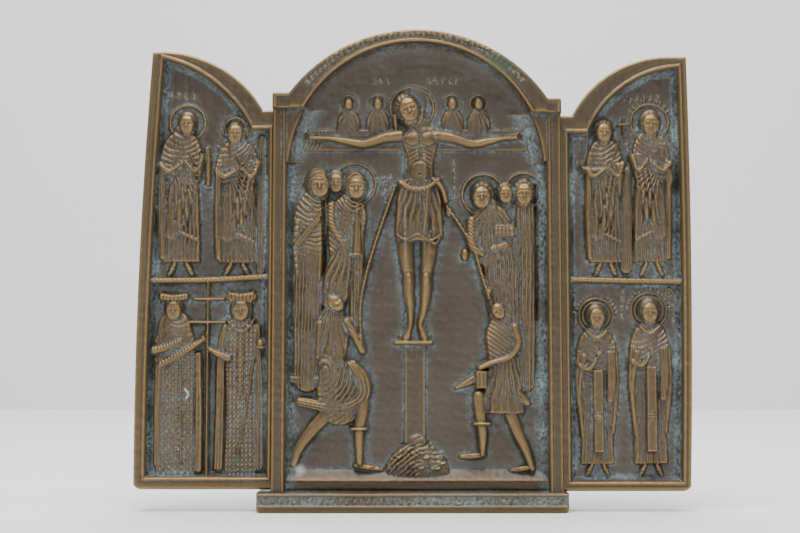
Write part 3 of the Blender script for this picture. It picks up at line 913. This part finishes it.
def base_relief():
    """The base band: two rims with a sunk lane of worn marks between them."""
    left, right, top, corner = BASE

    def sole(x):
        out = np.clip(corner - np.minimum(x - left, right - x), 0, corner)
        return corner - np.sqrt(np.maximum(corner ** 2 - out ** 2, 0))

    x, z = grid(flat(left), flat(right), sole, flat(top), 381, 31)
    rise = np.interp(z, [0, 0.5, 3.2, 3.8, 7.8, 8.3, 9.1, 9.6],
                     [23.4, 23.9, 23.9, 23.1, 23.1, 23.95, 23.9, 23.0])
    rise = rise - 1.6 * (1 - quarter_round(np.maximum(np.minimum(x - left, right - x), 0), 1.2))
    r = Relief(x, z, rise)
    strokes(r, [[-73 + 3.35 * k, 5.8, 0] for k in range(44)], 71, 2.3, 0.5)
    r.marks["olive"] = np.clip(1.3 - z / 3, 0, 1)
    r.marks["pale"] = np.maximum(r.marks["pale"], 0.5 * ((z > 3.6) & (z < 8)))
    return r, lambda px, pz: np.zeros(px.shape)


# ---- from a relief to a closed mesh ----
COARSE = 5  # one line of the back for so many of the front


def box_blur(values, reach):
    """The mean over a square window, by running sums along both axes."""
    for axis in (0, 1):
        pad = [(0, 0), (0, 0)]
        pad[axis] = (reach + 1, reach)
        total = np.cumsum(np.pad(values, pad, mode="edge"), axis=axis)
        count = 2 * reach + 1
        head_part = np.take(total, range(count, total.shape[axis]), axis=axis)
        values = (head_part - np.take(total, range(0, total.shape[axis] - count), axis=axis)) / count
    return values


def rim_numbers(rows, columns):
    """The numbers of a grid's border points, once round counterclockwise."""
    index = np.arange(rows * columns).reshape(rows, columns)
    return np.concatenate([index[0, :-1], index[:-1, -1], index[-1, :0:-1], index[:0:-1, 0]])


def quads(index):
    """The faces of a grid of point numbers, counterclockwise as seen from the front."""
    return np.stack([index[:-1, :-1], index[:-1, 1:], index[1:, 1:], index[1:, :-1]], -1).reshape(-1, 4)


def closed_mesh(name, relief, back):
    """A shell: the carved front, a coarse back of every fifth line, and one strip of triangles
    between their rims. Colours ride on the points as two sets of four masks."""
    x, z = relief.x, relief.z
    chance = np.random.default_rng(17)
    wobble = np.zeros(x.shape)
    for _ in range(14):
        turn, wave = chance.uniform(0, math.pi), chance.uniform(2.2, 9.0)
        slope = x * math.cos(turn) + z * math.sin(turn)
        wobble += 0.03 * np.sin(2 * math.pi * slope / wave + chance.uniform(0, 6))
    carved = np.clip(relief.rise, back(x, z) + 1.5, DEPTH - 0.15)
    rise = carved + np.minimum(wobble, 0.1)
    rows, columns = x.shape
    front = np.stack([x, BACK_Y - rise, z], -1)
    picked_r = np.unique(np.append(np.arange(0, rows, COARSE), rows - 1))
    picked_c = np.unique(np.append(np.arange(0, columns, COARSE), columns - 1))
    bx, bz = x[np.ix_(picked_r, picked_c)], z[np.ix_(picked_r, picked_c)]
    hind = np.stack([bx, BACK_Y - back(bx, bz), bz], -1)
    points = np.concatenate([front.reshape(-1, 3), hind.reshape(-1, 3)])
    start = rows * columns
    hind_index = start + np.arange(bx.size).reshape(bx.shape)
    faces4 = np.concatenate([quads(np.arange(start).reshape(rows, columns)), quads(hind_index)[:, ::-1]])
    near_rim = rim_numbers(rows, columns)
    far_rim = start + rim_numbers(*bx.shape)
    on_front = np.concatenate([picked_c[:-1], columns - 1 + picked_r[:-1],
                               columns - 1 + rows - 1 + (columns - 1 - picked_c[:0:-1]),
                               2 * (columns - 1) + rows - 1 + (rows - 1 - picked_r[:0:-1])])
    owner = np.searchsorted(on_front, np.arange(len(near_rim)), side="right") - 1
    step = np.roll(near_rim, -1)
    fans = np.stack([near_rim, far_rim[owner], step], -1)
    turns = np.stack([np.append(near_rim[on_front[1:]], near_rim[0]), far_rim, np.roll(far_rim, -1)], -1)
    faces3 = np.concatenate([fans, turns])
    mesh = bpy.data.meshes.new(name)
    loops = np.concatenate([faces4.ravel(), faces3.ravel()]).astype(np.int32)
    sizes = np.concatenate([np.full(len(faces4), 4), np.full(len(faces3), 3)])
    mesh.vertices.add(len(points))
    mesh.vertices.foreach_set("co", (points * MM).astype(np.float32).ravel())
    mesh.loops.add(len(loops))
    mesh.loops.foreach_set("vertex_index", loops)
    mesh.polygons.add(len(sizes))
    mesh.polygons.foreach_set("loop_start", (np.cumsum(sizes) - sizes).astype(np.int32))
    mesh.update(calc_edges=True)
    mesh.validate()
    mesh.polygons.foreach_set("use_smooth", np.ones(len(sizes), bool))
    across = np.gradient(front, axis=1)
    upward = np.gradient(front, axis=0)
    facing = np.cross(across, upward)
    facing /= np.maximum(np.linalg.norm(facing, axis=-1, keepdims=True), 1e-9)
    normals = np.concatenate([facing.reshape(-1, 3), np.tile([0.0, 1.0, 0.0], (bx.size, 1))])
    mesh.normals_split_custom_set_from_vertices(normals.astype(np.float32))
    fine, broad = box_blur(carved, 3), box_blur(carved, 11)
    ridge = np.clip((carved - fine) / 0.6 + 0.3 * (carved - broad) / 1.5, 0, 1)
    crevice = np.clip((fine - carved) / 0.5 + 0.42 * (broad - carved) / 1.4, 0, 1)
    crevice = crevice * (1 - relief.marks["olive"])
    masks = {"wear": (ridge, crevice, relief.marks["pale"]),
             "tone": (relief.marks["green"], relief.marks["olive"], relief.marks["dark"]),
             "spot": (relief.marks["golden"], relief.marks["white"], np.clip((rise - GROUND) / 6, 0, 1))}
    for label, parts in masks.items():
        values = np.zeros((len(points), 3), np.float32)
        for k, part in enumerate(parts):
            values[:start, k] = part.ravel()
        layer = mesh.attributes.new(label, "FLOAT_VECTOR", "POINT")
        layer.data.foreach_set("vector", values.ravel())
    piece = bpy.data.objects.new(name, mesh)
    bpy.context.scene.collection.objects.link(piece)
    piece.data.materials.append(bronze())
    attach(piece, "root")
    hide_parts(NODE)
    return piece


# ---- the metal ----
def bronze():
    """Cast bronze with a brown skin: golden where it is rubbed, pale blue-green in the hollows,
    olive along the rims. Each colour is mixed in by a mask on the points, broken up by noise."""
    name = "Patinated bronze"
    if name in bpy.data.materials:
        return bpy.data.materials[name]
    look = bpy.context.scene.triptych_look
    material = bpy.data.materials.new(name)
    material.use_nodes = True
    nodes, links = material.node_tree.nodes, material.node_tree.links
    nodes.clear()

    def node(kind, **settings):
        made = nodes.new("ShaderNode" + kind)
        for key, value in settings.items():
            setattr(made, key, value)
        return made

    def value(kind, a, b, clamp=True):
        made = node("Math", operation=kind, use_clamp=clamp)
        for socket, source in zip(made.inputs, (a, b)):
            if isinstance(source, (int, float)):
                socket.default_value = source
            else:
                links.new(source, socket)
        return made.outputs[0]

    def mixed(amount, below, above):
        made = node("Mix", data_type="RGBA")
        links.new(amount, made.inputs[0])
        for socket, source in ((made.inputs[6], below), (made.inputs[7], above)):
            if isinstance(source, bpy.types.NodeSocket):
                links.new(source, socket)
            else:
                socket.default_value = (*source, 1)
        return made.outputs[2]

    place = node("TexCoord").outputs["Object"]

    def noise(scale, detail=3.0):
        made = node("TexNoise")
        made.inputs["Scale"].default_value = scale
        made.inputs["Detail"].default_value = detail
        links.new(place, made.inputs["Vector"])
        return made.outputs["Fac"]

    masks = []
    for label in ("wear", "tone", "spot"):
        split = node("SeparateXYZ")
        links.new(node("Attribute", attribute_name=label).outputs["Vector"], split.inputs[0])
        masks += list(split.outputs)
    ridge, crevice, pale, green, olive, dark, golden, white, lift = masks
    cloud, speck = noise(45.0), noise(650.0)
    patch = value("MULTIPLY", value("SUBTRACT", cloud, 0.32), 2.6)
    colour = mixed(patch, tuple(look.ground), tuple(c * 1.25 for c in look.ground))
    colour = mixed(value("MULTIPLY", lift, 0.6), colour, tuple(look.brown))
    patchy = value("ADD", value("MULTIPLY", patch, 0.7), 0.25)
    verdigris = value("MULTIPLY", value("ADD", crevice, pale), patchy)
    verdigris = value("MULTIPLY", verdigris, value("MULTIPLY", value("SUBTRACT", speck, 0.3), 3.6, False))
    colour = mixed(value("MULTIPLY", olive, 0.6), colour, tuple(look.olive))
    colour = mixed(value("MULTIPLY", verdigris, look.verdigris), colour, tuple(look.pale))
    deep = value("MULTIPLY", value("SUBTRACT", crevice, 0.45), 1.5)
    colour = mixed(value("MULTIPLY", deep, value("SUBTRACT", 1.0, patch)), colour, (0.02, 0.02, 0.018))
    shine = value("ADD", value("MULTIPLY", ridge, 0.9), value("MULTIPLY", golden, 0.35))
    colour = mixed(shine, colour, tuple(look.golden))
    colour = mixed(value("MULTIPLY", dark, 0.75), colour, (0.035, 0.026, 0.02))
    colour = mixed(value("MULTIPLY", green, value("ADD", speck, 0.2)), colour, tuple(look.green))
    colour = mixed(value("MULTIPLY", white, 0.8), colour, (0.62, 0.62, 0.58))
    shader = node("BsdfPrincipled")
    links.new(colour, shader.inputs["Base Color"])
    dull = value("MAXIMUM", value("MAXIMUM", verdigris, green), white)
    links.new(value("SUBTRACT", look.metallic, value("MULTIPLY", dull, 0.7)), shader.inputs["Metallic"])
    rough = value("ADD", value("MULTIPLY", dull, 0.3), value("ADD", look.roughness,
                                                           value("MULTIPLY", speck, 0.12)))
    links.new(rough, shader.inputs["Roughness"])
    grain = node("Bump")
    grain.inputs["Strength"].default_value = 0.25
    grain.inputs["Distance"].default_value = 0.00025
    links.new(noise(1500.0, 4.0), grain.inputs["Height"])
    links.new(grain.outputs[0], shader.inputs["Normal"])
    links.new(shader.outputs[0], node("OutputMaterial").inputs["Surface"])
    return material


# ---- the add-on: its settings, operators and panel ----
class TriptychLook(PropertyGroup):
    """Colours and finish of the bronze."""
    ground: FloatVectorProperty(name="Ground", description="Flat sunk metal between the figures",
                                subtype="COLOR", size=3, default=(0.082, 0.066, 0.05))
    brown: FloatVectorProperty(name="Brown", description="Raised metal that isn't rubbed",
                               subtype="COLOR", size=3, default=(0.092, 0.062, 0.03))
    golden: FloatVectorProperty(name="Golden", description="Rubbed crests of the relief",
                                subtype="COLOR", size=3, default=(0.27, 0.178, 0.075))
    olive: FloatVectorProperty(name="Olive", description="Outer rims", subtype="COLOR", size=3,
                               default=(0.085, 0.068, 0.028))
    pale: FloatVectorProperty(name="Verdigris", description="Pale deposit in the hollows",
                              subtype="COLOR", size=3, default=(0.24, 0.37, 0.41))
    green: FloatVectorProperty(name="Green", description="Spots of green corrosion", subtype="COLOR",
                               size=3, default=(0.035, 0.085, 0.03))
    verdigris: FloatProperty(name="Verdigris amount", description="How much pale deposit there is",
                             default=0.72, min=0, max=1.5)
    metallic: FloatProperty(name="Metallic", description="How metallic the clean metal is", default=0.75,
                            min=0, max=1)
    roughness: FloatProperty(name="Roughness", description="Roughness of the clean metal", default=0.38,
                             min=0, max=1)


class TriptychSize(PropertyGroup):
    """Heights of the casting's parts above its back plane."""
    arch_rise: FloatProperty(name="Arch", description="The arch band", unit="LENGTH",
                             default=ARCH_RISE * MM)
    jamb_rise: FloatProperty(name="Side strips", description="The strips beside the centre's recess",
                             unit="LENGTH", default=JAMB_RISE * MM)
    wing_rise: FloatProperty(name="Wings", description="The wings' frames", unit="LENGTH",
                             default=WING_RISE * MM)
    wing_back: FloatProperty(name="Wings' back", description="The back face of the wings",
                             unit="LENGTH", default=WING_BACK * MM)
    hollow_sink: FloatProperty(name="Hollow", description="Depth of the hollow behind the centre",
                               unit="LENGTH", default=HOLLOW[2] * MM)


class TriptychStage(PropertyGroup):
    """The camera and lights."""
    lens: FloatProperty(name="Lens", description="Focal length in millimetres", default=60.0)
    distance: FloatProperty(name="Distance", description="From the camera to the plaque's front",
                            unit="LENGTH", default=0.66667)
    tilt: FloatProperty(name="Tilt", description="How far the camera looks up", subtype="ANGLE",
                        default=math.radians(4.3))
    aim: FloatVectorProperty(name="Aim", description="The point that the camera looks at",
                             subtype="TRANSLATION", size=3, default=(-0.00675, -0.012, 0.1221))
    key_power: FloatProperty(name="Key light", description="Power of the large light above", default=14.5)
    fill_power: FloatProperty(name="Fill light", description="Power of the light in front", default=5.0)


class TRIPTYCH_OT_wings(Operator):
    """Make both wings, each with its frame, its bar and two pairs of figures"""
    bl_idname = "triptych.wings"
    bl_label = "Wings"

    def execute(self, context):
        for name, side in (("wing_left", -1), ("wing_right", 1)):
            closed_mesh(name, *wing_relief(side))
        return {"FINISHED"}


class TRIPTYCH_OT_centre(Operator):
    """Make the centre in three pieces, one above the other"""
    bl_idname = "triptych.centre"
    bl_label = "Centre"

    def execute(self, context):
        low, high = SPLITS
        for name, foot, head_z in (("centre_low", BASE[2] - 0.2, low), ("centre_middle", low, high),
                                   ("centre_high", high, None)):
            closed_mesh(name, *centre_relief(foot, head_z))
        return {"FINISHED"}


class TRIPTYCH_OT_base(Operator):
    """Make the base band that the plaque stands on"""
    bl_idname = "triptych.base"
    bl_label = "Base band"

    def execute(self, context):
        closed_mesh("base_band", *base_relief())
        return {"FINISHED"}


class TRIPTYCH_OT_stage(Operator):
    """Set a pale floor and backdrop, soft lights and the camera"""
    bl_idname = "triptych.stage"
    bl_label = "Stage"

    def execute(self, context):
        look = context.scene.triptych_stage
        aim = Vector(look.aim)
        scene = context.scene
        material = bpy.data.materials.new("Pale paper")
        material.use_nodes = True
        shader = material.node_tree.nodes["Principled BSDF"]
        shader.inputs["Base Color"].default_value = (0.86, 0.86, 0.88, 1)
        shader.inputs["Roughness"].default_value = 0.9
        mesh = bpy.data.meshes.new("backdrop")
        mesh.from_pydata([(-6, -4, 0), (6, -4, 0), (6, 1.6, 0), (-6, 1.6, 0), (6, 1.6, 5), (-6, 1.6, 5)], [],
                         [(0, 1, 2, 3), (3, 2, 4, 5)])
        paper = bpy.data.objects.new("backdrop", mesh)
        paper.data.materials.append(material)
        scene.collection.objects.link(paper)
        for name, place, power, size in (("key", (-0.12, -0.5, 1.2), look.key_power, 0.8),
                                         ("fill", (0.3, -1.8, 0.5), look.fill_power, 1.6)):
            lamp = bpy.data.lights.new(name, "AREA")
            lamp.energy, lamp.size = power, size
            made = bpy.data.objects.new(name, lamp)
            made.location = place
            made.rotation_euler = (aim - Vector(place)).to_track_quat("-Z", "Y").to_euler()
            scene.collection.objects.link(made)
        wash = bpy.data.lights.new("wash", "AREA")
        wash.energy, wash.size = 115.0, 3.0
        wash_lamp = bpy.data.objects.new("wash", wash)
        wash_lamp.location = (0, 0.5, 2.6)
        wash_lamp.rotation_euler = (math.radians(35), 0, 0)
        scene.collection.objects.link(wash_lamp)
        world = bpy.data.worlds.new("Soft room")
        world.use_nodes = True
        world.node_tree.nodes["Background"].inputs[0].default_value = (0.9, 0.94, 1.0, 1)
        world.node_tree.nodes["Background"].inputs[1].default_value = 0.33
        scene.world = world
        lens = bpy.data.cameras.new("camera")
        lens.lens, lens.sensor_width = look.lens, 36.0
        lens.dof.use_dof = False
        eye = bpy.data.objects.new("camera", lens)
        back = Vector((0, -math.cos(look.tilt), -math.sin(look.tilt))) * look.distance
        eye.location = aim + back
        eye.rotation_euler = (math.pi / 2 + look.tilt, 0, 0)
        scene.collection.objects.link(eye)
        scene.camera = eye
        return {"FINISHED"}


class TRIPTYCH_PT_panel(Panel):
    """Lists the plaque's settings and the buttons that make it"""
    bl_label = "Triptych plaque"
    bl_idname = "TRIPTYCH_PT_panel"
    bl_space_type = "VIEW_3D"
    bl_region_type = "UI"
    bl_category = "Triptych"

    def draw(self, context):
        for group in (context.scene.triptych_size, context.scene.triptych_look,
                      context.scene.triptych_stage):
            for name in group.__annotations__:
                self.layout.prop(group, name)
        for step in OPERATORS:
            self.layout.operator(step.bl_idname)


OPERATORS = (TRIPTYCH_OT_stage, TRIPTYCH_OT_wings, TRIPTYCH_OT_centre, TRIPTYCH_OT_base)
CLASSES = (TriptychSize, TriptychLook, TriptychStage, *OPERATORS, TRIPTYCH_PT_panel)


def register():
    for part in CLASSES:
        bpy.utils.register_class(part)
    bpy.types.Scene.triptych_size = PointerProperty(type=TriptychSize)
    bpy.types.Scene.triptych_look = PointerProperty(type=TriptychLook)
    bpy.types.Scene.triptych_stage = PointerProperty(type=TriptychStage)


def unregister():
    del bpy.types.Scene.triptych_stage
    del bpy.types.Scene.triptych_look
    del bpy.types.Scene.triptych_size
    for part in reversed(CLASSES):
        bpy.utils.unregister_class(part)


def main():
    register()
    bpy.ops.triptych.stage()
    bpy.ops.triptych.wings()
    bpy.ops.triptych.centre()
    bpy.ops.triptych.base()


if __name__ == "__main__":
    main()
